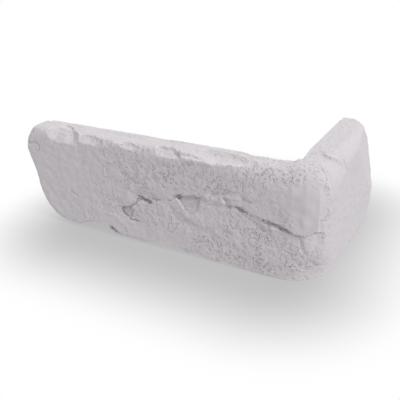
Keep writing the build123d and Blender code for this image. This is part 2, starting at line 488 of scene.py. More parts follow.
# Small scarps and grooves in the short face, by v and z. A groove of negative depth is a ridge
HEADER_SCARPS = [
    (
        [(27.5, 69.0, 0.5), (32.6, 61.5, 0.5), (35.7, 55.9, 0.45), (40.0, 47.0, 0.3), (46.0, 36.0, 0.0)],
        -1, 1.2, 12.0,
    ),
    (
        [
            (7.5, 66.7, 0.3), (10.0, 61.0, 0.6), (12.5, 57.0, 0.5), (13.5, 50.0, 0.4), (14.5, 38.0, 0.3),
            (15.5, 26.0, 0.0),
        ],
        -1, 1.3, 6.0,
    ),
]
HEADER_GROOVES = [
    [
        (2.2, 62.0, 1.6, 0.0), (2.4, 57.0, 2.0, -0.8), (2.6, 48.0, 2.2, -1.0), (3.0, 41.0, 2.4, -1.0),
        (3.4, 34.0, 2.0, 0.0),
    ],
    [(8.0, 56.0, 1.6, 0.0), (8.4, 49.0, 2.4, 0.6), (8.6, 40.0, 2.4, 0.6), (8.6, 32.0, 1.8, 0.0)],
    [(11.0, 52.0, 0.7, 0.0), (16.3, 38.5, 0.8, 0.3), (21.4, 25.7, 0.7, 0.0)],
    [(27.8, 51.0, 0.8, 0.0), (27.8, 50.2, 1.0, 0.6), (27.8, 49.2, 0.8, 0.0)],
    [
        (34.5, 63.5, 1.0, 0.0), (35.0, 61.0, 1.5, 0.6), (36.4, 56.0, 1.5, 0.7), (38.0, 51.5, 1.2, 0.4),
        (39.0, 47.0, 1.0, 0.0),
    ],
    [(37.2, 45.4, 0.8, 0.0), (37.2, 44.5, 1.0, 0.6), (37.2, 43.6, 0.8, 0.0)],
]

# Flakes gone from the top edge of the long leg: outline on the top (u, v, and how gently the wall slopes
# there), height at the first point, and how the height rises per millimetre of u and of v
TOP_FLAKE_WALL = 4.5  # height of the wall round each
TOP_FLAKES = [
    (
        [
            (193.5, 22, 1.6), (191.5, 14, 1.2), (190.5, 10, 1.2), (192.5, 4, 2), (197, -9, 4), (216, -9, 4),
            (216, 22, 4),
        ],
        64.2, -0.08, 0.0,
    ),
    (
        [
            (181.0, 9.0, 4.5), (177.4, 12.0, 2.4), (168.7, 10.4, 1.8), (163.6, 8.0, 1.8), (160.0, 4.6, 4),
            (153, -9, 8), (184, -9, 7),
        ],
        64.7, 0.01, 0.66,
    ),
    (
        [
            (178.5, 12.6, 0.9), (176.6, 14.6, 0.8), (172.2, 13.5, 0.8), (168.5, 10.2, 0.9), (166.0, 7.0, 1),
            (172.0, 7.6, 2), (178.0, 9.0, 2),
        ],
        64.1, 0.0, 0.0,
    ),
    ([(157.6, 5.4, 2), (149.0, 6.2, 1), (139.0, 3.6, 4), (128.0, -9, 9), (164.0, -9, 7)], 64.5, 0.0, 0.6),
    (
        [
            (101.5, 6.4, 2), (99.4, 7.8, 0.9), (93.5, 6.9, 0.8), (85.5, 4.8, 1.5), (80.0, 0, 4), (76, -9, 6),
            (106, -9, 6),
        ],
        63.6, 0.0, 0.3,
    ),
    ([(97.5, 3.6, 1), (92.0, 4.4, 0.8), (86.5, 2.2, 1.2), (82.0, -9, 6), (101, -9, 6)], 62.4, 0.0, 0.3),
    (
        [(90.0, 5.0, 5), (76.0, 5.4, 3), (66.0, 4.6, 3), (60.0, 3.6, 3), (52.0, -9, 9), (98, -9, 9)],
        64.0, 0.03, 0.12,
    ),
    ([(125.0, 3.6, 2), (120.4, 5.2, 0.6), (113.4, 2.4, 2), (104, -9, 9), (132, -9, 9)], 64.3, 0.0, 0.5),
]

# Thin creases that run along the top: u, v, half width, depth
TOP_GROOVES = [
    [
        (78.0, 12.4, 0.6, 0.0), (74.1, 13.7, 0.8, 0.5), (64.7, 12.9, 0.8, 0.6), (54.7, 12.4, 0.8, 0.6),
        (47.5, 12.5, 0.7, 0.5), (39.0, 13.4, 0.6, 0.0),
    ],
    [
        (120.0, 15.6, 0.6, 0.0), (104.9, 16.1, 0.8, 0.4), (97.0, 16.8, 0.8, 0.5), (87.4, 16.6, 0.7, 0.4),
        (82.0, 16.2, 0.6, 0.0),
    ],
    [
        (61.0, 17.8, 0.6, 0.0), (58.4, 17.5, 0.7, 0.4), (52.5, 16.8, 0.8, 0.5), (41.7, 15.2, 0.7, 0.4),
        (36.0, 14.6, 0.6, 0.0),
    ],
    [
        (153.0, 13.2, 0.6, 0.0), (150.3, 13.4, 0.8, 0.4), (141.0, 13.5, 0.8, 0.4), (134.2, 14.5, 0.8, 0.5),
        (124.0, 15.0, 0.6, 0.0),
    ],
    [(150.0, 9.2, 0.6, 0.0), (143.0, 9.4, 0.8, 0.4), (136.0, 10.2, 0.8, 0.4), (128.0, 10.6, 0.6, 0.0)],
    [(97.0, 9.5, 0.6, 0.0), (91.0, 10.8, 0.8, 0.4), (84.5, 11.4, 0.6, 0.0)],
    [(14.6, 34.4, 0.6, 0.0), (16.1, 32.6, 0.8, 0.5), (18.5, 29.8, 0.9, 0.6), (20.9, 22.1, 0.8, 0.5)],
    [(9.9, 17.5, 0.8, 0.3), (7.3, 14.2, 1.1, 0.8), (4.4, 12.1, 1.1, 0.8), (2.4, 12.1, 0.8, 0.0)],
]

# Hollows worn into the top and the far end: centre (u, v, z) and half sizes
TOP_HOLLOWS = [
    ((60.0, 6.4, 69.8), (26.0, 10.0, 7.6)),
    ((26.0, 17.5, 67.4), (5.6, 4.2, 3.6)),
    ((128.0, 12.0, 69.0), (26.0, 6.5, 4.7)),
    ((8.4, 15.8, 66.4), (2.6, 1.8, 1.9)),
    ((4.6, 12.6, 65.8), (3.4, 1.5, 2.1)),
    ((204.2, 1.5, 46.0), (3.2, 4.0, 2.4)),
    ((199.0, -2.6, 54.0), (3.0, 3.6, 3.0)),
]

# Flakes gone from the bed edge of the long face: u at the middle, half length, height at the face
BED_FLAKES = [(152.0, 19.0, 7.4), (98.0, 20.0, 4.6), (57.0, 7.0, 3.0), (76.0, 8.0, 3.4), (178.0, 16.0, 3.6)]
BED_FLAKE_FALL = 0.5  # how the flake's floor falls for each millimetre back

# Flat cuts that knocked the corners off: a point (u, v, z), the way out, depth from that point, and the
# radius that its edges are worn to
FLAT_CHIPS = [
    ((203.25, 0.0, 65.0), (0.8, -1.0, 1.0), 6.8, 4.0),
    ((0.0, 106.0, 65.0), (-1.0, 0.16, 0.18), 8.0, 0.0),
    ((0.0, 106.0, 65.0), (-0.8, 0.6, 0.7), 11.8, 0.0),
    ((0.0, 0.0, 0.0), (-1.0, -1.0, -1.2), 7.0, 0.0),
]
CHIP_LEAN = 0.6  # cosine between such a cut and the sides round it


def leg_end(at, z, far, top_gap, height, end):
    """A leg's free end, seen square on: it bulges at its knuckle and draws in above and below it."""
    knuckle = np.array((far, end["knuckle"]))
    upper = knuckle - (far - end["top"], height)
    lower = np.array((far - end["bed"], 0.0)) - knuckle
    way_up = np.array((-upper[1], upper[0])) / np.linalg.norm(upper)
    way_down = np.array((-lower[1], lower[0])) / np.linalg.norm(lower)
    across, up = at - knuckle[0], z - knuckle[1]
    over = way_up[0] * across + way_up[1] * up
    under = way_down[0] * across + way_down[1] * up
    tip = rounded(over, under, KNUCKLE_RADIUS, float(way_up @ way_down))
    shape = rounded(tip, top_gap, end["top_radius"], float(way_up[1]))
    return rounded(shape, -z, end["bed_radius"], float(-way_down[1]))


def top_level(u, v, height):
    """Height of the top, which is a little higher along the short leg beyond a step."""
    beyond = v - RISE_START + RISE_SLANT * np.minimum(u, RISE_SLANT_END)
    rise = RISE * step(0, 1, beyond / (RISE_LENGTH + RISE_SOFTER * step(9, 15, u)))
    dip = DIP * step(56, 47, u) * step(24, 31, u) * step(6, 15, v) + END_DIP * step(192, 203, u)
    creases = np.zeros(len(u))
    carve(creases, TOP_GROOVES, u, v, 2)
    return height + rise * (1 - 0.3 * step(85, 105, v)) - dip - creases


def arris_width(u, v, z, plain):
    """Radius of the rolled edge: wider round the corner's top, sharper at its bed and along two stretches."""
    high = step(35, 50, z)
    wide = (TOP_ARRIS_WIDER * step(54, 44, u) + CORNER_ARRIS_WIDER * step(40, 20, u) * step(42, 20, v)) * high
    wide -= BED_ARRIS_SHARPER * step(16, 6, z) * step(84, 58, u)
    for middle, half in SHARP_STRETCHES:
        wide -= TOP_ARRIS_SHARPER * step(half, 0.5 * half, np.abs(u - middle)) * high
    return plain + wide


def face_depth(u, z, rough):
    """How far the long face lies in from its plane at each point."""
    u, z = u + FACE_WAVER * rough[:, 0], z + FACE_WAVER * rough[:, 1]
    below = np.interp(u, LIP[:, 0], LIP[:, 1]) - z
    up_share = np.maximum(SETBACK_TOP - z, 0) / (SETBACK_TOP - SETBACK_FOOT)
    back = SETBACK * (1 - up_share - np.maximum(u, 0) / SETBACK_REACH)
    depth = np.maximum(back, 0) * step(-0.35, 0.35, below)
    carve(depth, GROOVES, u, z, 4)
    drop_beside(depth, SCARPS, u, z)
    for outline, (from_u, from_z, deep, per_u, per_z) in POCKETS:
        at = near(outline, u, z, 3)
        if len(at):
            floor = deep + per_u * (u[at] - from_u) + per_z * (z[at] - from_z)
            well, wall = inside(outline, u[at], z[at])
            depth[at] = np.maximum(depth[at], depth[at] * 0.3 + floor * step(-0.2, 1.0, well / wall))
    at = near(LEFT_FLAKE, u, z, 3)
    if len(at):
        depth[at] -= LEFT_FLAKE_HEIGHT * step(-0.3, 0.8, inside(LEFT_FLAKE, u[at], z[at])[0])
    return depth


def header_depth(v, z, rough):
    """How far the short face lies in from its own surface."""
    v, z = v + HEADER_WAVER * rough[:, 0], z + HEADER_WAVER * rough[:, 2]
    depth = np.zeros(len(v))
    drop_beside(depth, HEADER_SCARPS, v, z)
    carve(depth, HEADER_GROOVES, v, z, 4)
    return depth


def faces_field(u, v, z, rough, sizes):
    """Distance from the two faces and the corner between them."""
    level = np.interp(u - SLANT_ACROSS * v, LIP[:, 0], LIP[:, 1]) - SLANT_UP * v
    unbroken = step(-0.4, 1.5, z - level)
    radius = sizes["corner_radius"] - CORNER_SHARPER * unbroken + FOOT_ROUNDER * step(24, 1, z)
    outer = rounded(-u, -v, radius)

    # The fractured long face, marked where it is seen on the rounded corner too
    at = np.nonzero((v < 8) & (z > -2))[0]
    depth = np.zeros(len(u))
    if len(at):
        depth[at] = face_depth(u[at] - SLANT_ACROSS * v[at], z[at] + SLANT_UP * v[at], rough[at])
        depth[at] *= step(-6.0, 2.0, u[at] - 0.9 * v[at]) * step(8, 5.5, v[at]) * step(-1.0, 2.0, z[at])
    outer = outer + depth

    # The short face bellies out low down and leans back at its far top
    across, up = (v - BELLY_AT[0]) / BELLY_HALF[0], (z - BELLY_AT[1]) / BELLY_HALF[1]
    belly = BELLY * np.exp(-(across**2) - up**2)
    lean = HEADER_LEAN * step(45, 66, z) * step(55, 106, v)
    outer = outer + (lean - belly) * step(14, 6, u) * step(10, 30, v)
    at = np.nonzero((u < 7) & (v > 1))[0]
    if len(at):
        outer[at] += header_depth(v[at], z[at], rough[at]) * step(7, 4, u[at])

    # Above the fracture the corner is broken to three flats
    for (u0, v0), (out_u, out_v) in CORNER_FLATS:
        flat = (u0 - u) * out_u + (v0 - v) * out_v - 6.0 * step(0.4, -0.6, z - level)
        outer = np.maximum(outer, flat)
    return outer


def chipped(field, u, v, z, rough):
    """Takes the cuts, flakes and hollows along the edges out of a body given by its distances."""
    placed = np.stack([u, v, z], axis=1)
    for corner, outward, deep, worn in FLAT_CHIPS:
        way = np.asarray(outward, dtype=float)
        cut = (placed - corner) @ (way / np.linalg.norm(way)) + deep
        field = rounded(field, cut, worn, CHIP_LEAN) if worn else np.maximum(field, cut)
    ragged = np.stack([u + 1.3 * rough[:, 2] + 0.7 * rough[:, 0], v + 0.9 * rough[:, 1], z], axis=1)
    for outline, start_z, per_u, per_v in TOP_FLAKES:
        at = np.nonzero((z > 50) & (v < 21))[0]
        if len(at):
            at = at[near(outline, u[at], v[at], 3)]
        if len(at):
            u0, v0, _ = outline[0]
            edge, slope = inside(outline, ragged[at, 0], ragged[at, 1])
            floor = start_z + per_u * (u[at] - u0) + per_v * (v[at] - v0) + 0.6 * rough[at, 0]
            floor += TOP_FLAKE_WALL * (1 - step(-0.6, 1.0, edge / slope))
            field[at] = np.maximum(field[at], np.minimum(z[at] - floor, edge + 1.5))
    for middle, half, up in BED_FLAKES:
        floor = up * (1 - ((ragged[:, 0] - middle) / half) ** 2) - BED_FLAKE_FALL * v + 0.5 * rough[:, 1]
        field = np.maximum(field, np.maximum(floor - z, -9.0) / math.hypot(1, BED_FLAKE_FALL))
    for centre, half in TOP_HOLLOWS:
        bowl = (1 - np.linalg.norm((ragged - centre) / half, axis=1)) * min(half)
        field = np.maximum(field, bowl)
    return field


def slip_field(points, sizes):
    """Distance from the worn body's surface, positive outside it. Points are (u, v, z)."""
    rough = np.stack([wander(points, size, seed) for size, seed in SKIN_WAVERS], axis=1)
    u, v, z = (points + EDGE_WAVER * rough).T
    outer = faces_field(u, v, z, rough, sizes)

    height = sizes["height"]
    top_gap = z - top_level(u, v, height)
    end_swell = sum(swell * np.exp(-(((z - middle) / half) ** 2)) for swell, middle, half in END_SWELLS)
    outline = np.maximum(
        leg_end(u - end_swell, z, sizes["stretcher_length"], top_gap, height, STRETCHER_END),
        leg_end(v, z, sizes["header_length"], top_gap, height, HEADER_END),
    )
    field = rounded(outer, outline, arris_width(u, v, z, sizes["arris_radius"]))
    field = chipped(field, u, v, z, rough)

    behind_header = sizes["header_thickness"] - points[:, 0]
    behind_stretcher = sizes["stretcher_thickness"] - points[:, 1]
    back = -rounded(behind_header, behind_stretcher, sizes["inner_radius"])
    return np.maximum(np.maximum(field, back), -points[:, 2])


def settle(points, sizes, turns, stride=2.0):
    """Moves points on to the worn body's surface and returns them with its outward directions."""
    for turn in range(turns + 1):
        level = slip_field(points, sizes)
        probes = [slip_field(points + PROBE * axis, sizes) for axis in np.eye(3)]
        slope = np.stack([(probe - level) / PROBE for probe in probes], axis=1)
        steep = np.linalg.norm(slope, axis=1)
        if turn < turns:
            move = np.clip(level / np.maximum(steep, 0.3) ** 2, -stride, stride)
            points = points - slope * move[:, None]
    return points, slope / np.maximum(steep, 1e-6)[:, None]


# Mesh helpers


def read_values(items, name, width=1, kind=float):
    """One value of every vertex, edge or attribute item, as an array."""
    flat = np.empty(len(items) * width, dtype=kind)
    items.foreach_get(name, flat)
    return flat if width == 1 else flat.reshape(-1, width)


def body_points(mesh, sizes):
    """A mesh's points as (u, v, z) in millimetres."""
    x, y, z = read_values(mesh.vertices, "co", 3).T / MM
    return np.stack([sizes["header_thickness"] - x, y + sizes["stretcher_thickness"], z], axis=1)


def put_points(mesh, points, sizes):
    """Gives a mesh these points."""
    u, v, z = points.T
    x, y = sizes["header_thickness"] - u, v - sizes["stretcher_thickness"]
    flat = np.stack([x, y, z], axis=1).astype(np.float32).ravel() * MM
    mesh.vertices.foreach_set("co", flat)
    mesh.update()


def remesh(piece, cell):
    """Gives a piece an even mesh of cells this size."""
    even = piece.modifiers.new("even", "REMESH")
    even.mode = "VOXEL"
    even.voxel_size = cell
    bake(piece)


def bake(piece):
    """Turns a piece's modifiers into its plain mesh."""
    solver = bpy.context.evaluated_depsgraph_get()
    solved = piece.evaluated_get(solver)
    mesh = bpy.data.meshes.new_from_object(solved, preserve_all_data_layers=True, depsgraph=solver)
    piece.modifiers.clear()
    old, piece.data = piece.data, mesh
    mesh.name = piece.name
    if old.users == 0:
        bpy.data.meshes.remove(old)


def add_piece(name, shape):
    """Makes an object of a bmesh and puts it in the scene."""
    mesh = bpy.data.meshes.new(name)
    shape.to_mesh(mesh)
    shape.free()
    piece = bpy.data.objects.new(name, mesh)
    bpy.context.scene.collection.objects.link(piece)
    return piece


def relief_of(mesh):
    """How sunk (positive) or proud (negative) each point is against the skin round it, from -1 to 1."""
    count = len(mesh.vertices)
    points = read_values(mesh.vertices, "co", 3) / MM
    normals = read_values(mesh.vertices, "normal", 3)
    first, second = read_values(mesh.edges, "vertices", 2, np.int64).T
    ties = np.bincount(first, minlength=count) + np.bincount(second, minlength=count)
    smooth = points.copy()
    for _ in range(RELIEF_TURNS):
        total = np.zeros_like(smooth)
        for axis in range(3):
            total[:, axis] = np.bincount(first, smooth[second, axis], count)
            total[:, axis] += np.bincount(second, smooth[first, axis], count)
        smooth = 0.3 * smooth + 0.7 * total / np.maximum(ties, 1)[:, None]
    sunk = ((smooth - points) * normals).sum(axis=1)
    return np.clip(sunk / DEEPEST_RELIEF, -1, 1)


# Node helpers

FLOAT, COLOUR, VECTOR, GEOMETRY = (
    "NodeSocketFloat",
    "NodeSocketColor",
    "NodeSocketVector",
    "NodeSocketGeometry",
)


def put(tree, kind, given=None, **settings):
    """Adds a node with its settings, and its inputs as values or sockets to join."""
    made = tree.nodes.new(kind)
    for key, value in settings.items():
        setattr(made, key, value)
    for key, value in (given or {}).items():
        if isinstance(value, bpy.types.NodeSocket):
            tree.links.new(value, made.inputs[key])
        else:
            made.inputs[key].default_value = value
    return made


def calc(tree, operation, first, second=0.0, clamp=False):
    """One sum, as the socket it comes out of."""
    return put(tree, "ShaderNodeMath", {0: first, 1: second}, operation=operation, use_clamp=clamp).outputs[0]


def times(tree, first, second):
    return calc(tree, "MULTIPLY", first, second)


def less(tree, first, second):
    return calc(tree, "SUBTRACT", first, second)


def vector(tree, operation, first, second=(0, 0, 0), out="Vector"):
    """One sum with vectors, as the socket it comes out of."""
    return put(tree, "ShaderNodeVectorMath", {0: first, 1: second}, operation=operation).outputs[out]


def scaled(tree, first, share):
    """A vector or colour times a number."""
    return put(tree, "ShaderNodeVectorMath", {0: first, "Scale": share}, operation="SCALE").outputs[0]


def ramp(tree, value, low_end, high_end, low_out=0.0, high_out=1.0):
    """Runs smoothly from one value to another between two ends."""
    made = put(
        tree,
        "ShaderNodeMapRange",
        {"Value": value, "From Min": low_end, "From Max": high_end, "To Min": low_out, "To Max": high_out},
        interpolation_type="SMOOTHSTEP",
    )
    return made.outputs["Result"]


def mix(tree, share, first, second):
    """A number between two numbers."""
    return put(tree, "ShaderNodeMix", {0: share, 2: first, 3: second}, data_type="FLOAT").outputs[0]


def mix_colour(tree, share, first, second):
    """A colour between two colours."""
    return put(tree, "ShaderNodeMix", {0: share, 6: first, 7: second}, data_type="RGBA").outputs[2]


def drawn_out(tree, place):
    """A place measured along the mould's slanting strokes, which draws out a noise along them."""
    turn = {"Vector": place, "Angle": STROKE_SLANT}
    turned = put(tree, "ShaderNodeVectorRotate", turn, rotation_type="Y_AXIS")
    return vector(tree, "MULTIPLY", turned.outputs[0], STROKE_DRAW)


def thin_lines(tree, strokes, width):
    """1 along the lines where a noise passes its middle value, and 0 beside them."""
    off = calc(tree, "ABSOLUTE", less(tree, strokes, 0.5))
    return less(tree, 1.0, ramp(tree, off, 0.0, width))


def new_group(kind, name, inputs, outputs):
    """A node group with these sockets, and the nodes that stand for them."""
    tree = bpy.data.node_groups.new(name, kind)
    for label, socket_type, value in inputs:
        socket = tree.interface.new_socket(label, in_out="INPUT", socket_type=socket_type)
        if value is not None:
            socket.default_value = value
    for label, socket_type in outputs:
        tree.interface.new_socket(label, in_out="OUTPUT", socket_type=socket_type)
    return tree, tree.nodes.new("NodeGroupInput").outputs, tree.nodes.new("NodeGroupOutput").inputs


def named(tree, name):
    """A point's own value of this name."""
    return put(tree, "GeometryNodeInputNamedAttribute", {"Name": name}, data_type="FLOAT").outputs[0]


def end_tree(tree, geometry, rise, result):
    """Moves the surface outwards by this much, then realizes and paints it."""
    shift = scaled(tree, put(tree, "GeometryNodeInputNormal").outputs[0], rise)
    moved = put(tree, "GeometryNodeSetPosition", {"Geometry": geometry, "Offset": shift})
    real = put(tree, "GeometryNodeRealizeInstances", {"Geometry": moved.outputs[0]})
    paint = bpy.data.materials["Cast skin"]
    painted = put(tree, "GeometryNodeSetMaterial", {"Geometry": real.outputs[0], "Material": paint})
    tree.links.new(painted.outputs[0], result["Geometry"])


def run_tree(piece, tree, values):
    """Runs a tree over a piece with these inputs, and keeps the result as its mesh."""
    holder = piece.modifiers.new(tree.name, "NODES")
    holder.node_group = tree
    sockets = {item.name: item.identifier for item in tree.interface.items_tree if item.in_out == "INPUT"}
    for name, value in values.items():
        holder[sockets[name]] = value
    bake(piece)


def weathering_tree():
    """Broad lumps, slanting creases and grain of the moulded skin."""
    tree, given, result = new_group(
        "GeometryNodeTree",
        "Weathered skin",
        [
            ("Geometry", GEOMETRY, None),
            ("Lump Height", FLOAT, 0.0),
            ("Grain Height", FLOAT, 0.0),
            ("Crease Depth", FLOAT, 0.0),
            ("Seed", FLOAT, 0.0),
        ],
        [("Geometry", GEOMETRY)],
    )
    place = put(tree, "GeometryNodeInputPosition").outputs[0]

    def noise(size, detail, where=place):
        values = {"Vector": where, "W": given["Seed"], "Scale": 1 / (size * MM), "Detail": detail}
        return put(tree, "ShaderNodeTexNoise", values, noise_dimensions="4D").outputs[0]

    def swell(size, detail):
        return less(tree, noise(size, detail), 0.5)

    lumps = times(tree, swell(LUMP_SIZE, 2.0), times(tree, given["Lump Height"], 3.0))
    grain = times(tree, swell(GRAIN_SIZE, 1.5), times(tree, given["Grain Height"], 2.6))
    lines = thin_lines(tree, noise(CREASE_SIZE, 1.0, drawn_out(tree, place)), 0.035)
    patches = ramp(tree, swell(CREASE_PATCH_SIZE, 1.0), 0.06, 0.16)
    creases = times(tree, times(tree, lines, patches), given["Crease Depth"])
    busy = times(tree, less(tree, grain, creases), named(tree, "worn"))
    rise = times(tree, calc(tree, "ADD", lumps, busy), named(tree, "skin"))
    end_tree(tree, given["Geometry"], rise, result)
    return tree


def pitting_tree():
    """Air pits scattered over the skin, each a small bowl."""
    tree, given, result = new_group(
        "GeometryNodeTree",
        "Casting pits",
        [
            ("Geometry", GEOMETRY, None),
            ("Density", FLOAT, 0.0),
            ("Radius", FLOAT, 0.0),
            ("Seed", "NodeSocketInt", 0),
        ],
        [("Geometry", GEOMETRY)],
    )
    density = times(tree, given["Density"], named(tree, "worn"))
    spots = put(
        tree,
        "GeometryNodeDistributePointsOnFaces",
        {"Mesh": given["Geometry"], "Density": density, "Seed": given["Seed"]},
        distribute_method="RANDOM",
    ).outputs["Points"]
    share = put(tree, "FunctionNodeRandomValue", {"Seed": given["Seed"]}, data_type="FLOAT")
    share.inputs[2].default_value = SMALLEST_PIT
    share.inputs[3].default_value = 1.0
    spots = put(
        tree,
        "GeometryNodeStoreNamedAttribute",
        {"Geometry": spots, "Name": "pit_size", "Value": share.outputs[1]},
        data_type="FLOAT",
        domain="POINT",
    ).outputs[0]
    place = put(tree, "GeometryNodeInputPosition").outputs[0]
    finder = {"Geometry": spots, "Sample Position": place}
    nearest = put(tree, "GeometryNodeSampleNearest", finder, domain="POINT").outputs[0]

    def of_nearest(value, kind):
        wanted = {"Geometry": spots, "Value": value, "Index": nearest}
        return put(tree, "GeometryNodeSampleIndex", wanted, data_type=kind, domain="POINT").outputs[0]

    centre = of_nearest(place, "FLOAT_VECTOR")
    radius = times(tree, of_nearest(named(tree, "pit_size"), "FLOAT"), given["Radius"])
    gap = vector(tree, "DISTANCE", place, centre, out="Value")
    bowl = ramp(tree, calc(tree, "DIVIDE", gap, radius), 0.1, 1.0, 1.0, 0.0)
    end_tree(tree, given["Geometry"], times(tree, times(tree, bowl, radius), -PIT_DEPTH), result)
    return tree


# Materials


def grain_group():
    """Fine relief of the cast body: height for a bump, and a tone that varies with it."""
    tree, given, result = new_group(
        "ShaderNodeTree",
        "Cast grain",
        [
            ("Vector", VECTOR, None),
            ("Grain Size", FLOAT, 1.0),
            ("Streak", FLOAT, 1.0),
            ("Pits", FLOAT, 1.0),
            ("Busy", FLOAT, 1.0),
        ],
        [("Height", FLOAT), ("Tone", FLOAT)],
    )
    place = given["Vector"]
    per_grain = calc(tree, "DIVIDE", 1 / MM, given["Grain Size"])

    def noise(per_millimetre, detail, where=place, rough=0.55):
        values = {"Vector": where, "Scale": times(tree, per_grain, per_millimetre), "Detail": detail}
        return put(tree, "ShaderNodeTexNoise", {**values, "Roughness": rough}).outputs[0]

    fine = noise(0.6, 2.0)
    broad = noise(0.16, 3.0)
    drawn = drawn_out(tree, place)
    lines = times(tree, thin_lines(tree, noise(0.62, 2.0, drawn), 0.04), ramp(tree, broad, 0.46, 0.6))
    spread = {"Vector": place, "Scale": times(tree, per_grain, 0.45)}
    cells = put(tree, "ShaderNodeTexVoronoi", spread, feature="F1")
    chosen = ramp(tree, cells.outputs["Color"], 0.62, 0.72)
    pits = times(tree, less(tree, 1.0, ramp(tree, cells.outputs["Distance"], 0.1, 0.34)), chosen)
    speckle = noise(0.42, 0.5)
    flecks = less(tree, ramp(tree, speckle, 0.56, 0.72), ramp(tree, speckle, 0.42, 0.26))
    height = calc(tree, "ADD", times(tree, fine, 0.12), times(tree, noise(0.6, 1.0, drawn, 0.6), 0.14))
    height = calc(tree, "ADD", height, times(tree, flecks, 0.36))
    height = less(tree, height, times(tree, times(tree, lines, given["Streak"]), 0.25))
    height = less(tree, height, times(tree, times(tree, pits, given["Pits"]), 0.4))
    tree.links.new(times(tree, height, given["Busy"]), result["Height"])
    tree.links.new(calc(tree, "ADD", times(tree, broad, 0.6), times(tree, fine, 0.4)), result["Tone"])
    return tree


def shade_and_highlight_group():
    """Body colour, greyer in the hollows and paler on the proud edges: painted shade and painted highlight.
    """
    tree, given, result = new_group(
        "ShaderNodeTree",
        "Fines and rub",
        [
            ("Body", COLOUR, None),
            ("Hollow", COLOUR, None),
            ("Rub", COLOUR, None),
            ("Relief", FLOAT, 0.0),
            ("Tone", FLOAT, 0.5),
            ("Mottle", FLOAT, 0.06),
        ],
        [("Color", COLOUR), ("Mask", FLOAT)],
    )
    # Painted shade: the sunk places take the greyer colour
    sunk = times(tree, ramp(tree, given["Relief"], 0.5, 1.0), 0.8)
    # Painted highlight: the proud places take the paler colour
    proud = times(tree, ramp(tree, given["Relief"], -0.2, -0.9), 0.6)
    tint = mix_colour(tree, sunk, given["Body"], given["Hollow"])
    tint = mix_colour(tree, proud, tint, given["Rub"])
    swing = times(tree, less(tree, given["Tone"], 0.5), given["Mottle"])
    level = calc(tree, "ADD", 1.0, times(tree, swing, 2.0))
    tree.links.new(scaled(tree, tint, level), result["Color"])
    tree.links.new(sunk, result["Mask"])
    return tree


def empty_tree(owner):
    """Gives a new material or world nodes of its own, none yet."""
    owner.use_nodes = True
    owner.node_tree.nodes.clear()
    return owner.node_tree


def cast_material(name, groups, looks, values):
    """One finish of the cast body, from the shared grain and the shared painted shade and highlight."""
    tree = empty_tree(bpy.data.materials.new(name))
    place = put(tree, "ShaderNodeTexCoord").outputs["Object"]
    sunk = put(tree, "ShaderNodeAttribute", attribute_name="relief").outputs["Fac"]
    busy = put(tree, "ShaderNodeAttribute", attribute_name="worn").outputs["Fac"]
    inputs = {"Vector": place, "Busy": busy, **{key: values[key] for key in ("Grain Size", "Streak", "Pits")}}
    grain = put(tree, "ShaderNodeGroup", inputs, node_tree=groups["grain"])
    tints = {"Body": (*looks.body, 1), "Hollow": (*looks.hollow_shade, 1), "Rub": (*looks.edge_highlight, 1)}
    inputs = {"Relief": sunk, "Tone": grain.outputs["Tone"], "Mottle": values["Mottle"], **tints}
    # Painted shade in the hollows and painted highlight on the proud edges, laid on by the relief
    wear_and_painted_light = put(tree, "ShaderNodeGroup", inputs, node_tree=groups["wear_and_painted_light"])
    relief = {"Height": grain.outputs["Height"], "Strength": 1.0, "Distance": values["Bump"] * MM}
    bump = put(tree, "ShaderNodeBump", relief)
    rough = calc(tree, "ADD", looks.roughness, times(tree, wear_and_painted_light.outputs["Mask"], 0.06), clamp=True)
    finish = {"Base Color": wear_and_painted_light.outputs["Color"], "Roughness": rough, "Specular IOR Level": 0.25}
    shader = put(tree, "ShaderNodeBsdfPrincipled", {**finish, "Normal": bump.outputs[0]})
    put(tree, "ShaderNodeOutputMaterial", {"Surface": shader.outputs[0]}, is_active_output=True)


def seen_directly(tree):
    """1 for what the camera sees, directly, in a gloss or through glass, and 0 for what lights the scene."""
    path = put(tree, "ShaderNodeLightPath").outputs
    seen = calc(tree, "MAXIMUM", path["Is Camera Ray"], path["Is Glossy Ray"])
    return calc(tree, "MAXIMUM", seen, path["Is Transmission Ray"])


def floor_material(looks):
    """A pale floor with a painted soft shade beside the slip, darker nearer the part's box, and some of the
    lights' own shadow in it.
    """
    made = bpy.data.materials.new("Pale floor")
    tree = empty_tree(made)
    seen = seen_directly(tree)
    place = put(tree, "ShaderNodeTexCoord").outputs["Object"]
    middle = (low + high) / 2 + SHADE_SHIFT
    half = (high - low) / 2 - SHADE_INSET
    away = vector(tree, "ABSOLUTE", vector(tree, "SUBTRACT", place, (middle.x, middle.y, 0)))
    away = vector(tree, "MAXIMUM", vector(tree, "SUBTRACT", away, (half.x, half.y, FLOOR_DEPTH)))
    gap = vector(tree, "LENGTH", away, out="Value")
    # Painted shadow: the floor the camera sees glows less nearer the part's box
    painted_floor_shade = ramp(tree, gap, *SHADE_REACH, 1 - looks.shade, 1.0)
    shadowed = ramp(tree, gap, *SHADOW_REACH, looks.cast_shadow, 0.0)
    cover = mix(tree, seen, 0.9, less(tree, 1.0, shadowed))
    tone = mix_colour(tree, seen, (0.7, 0.7, 0.7, 1), (0.6, 0.6, 0.6, 1))
    matt = put(tree, "ShaderNodeBsdfDiffuse", {"Color": tone})
    # Painted light: for what the lights reach, the floor is mostly a glow of 0.7, which lights the slip's
    # lower faces with none of the floor's own shade
    strength = mix(tree, seen, 0.7, painted_floor_shade)
    glow = put(tree, "ShaderNodeEmission", {"Color": (1, 1, 1, 1), "Strength": strength})
    both = put(tree, "ShaderNodeMixShader", {0: cover, 1: matt.outputs[0], 2: glow.outputs[0]})
    put(tree, "ShaderNodeOutputMaterial", {"Surface": both.outputs[0]})
    return made


# Operators


def sizes_in_mm(context):
    """The body's sizes in millimetres, by name."""
    given = context.scene.slip_sizes
    names = [name for name in SlipSizes.__annotations__ if name != "cell"]
    return {name: getattr(given, name) / MM for name in names}


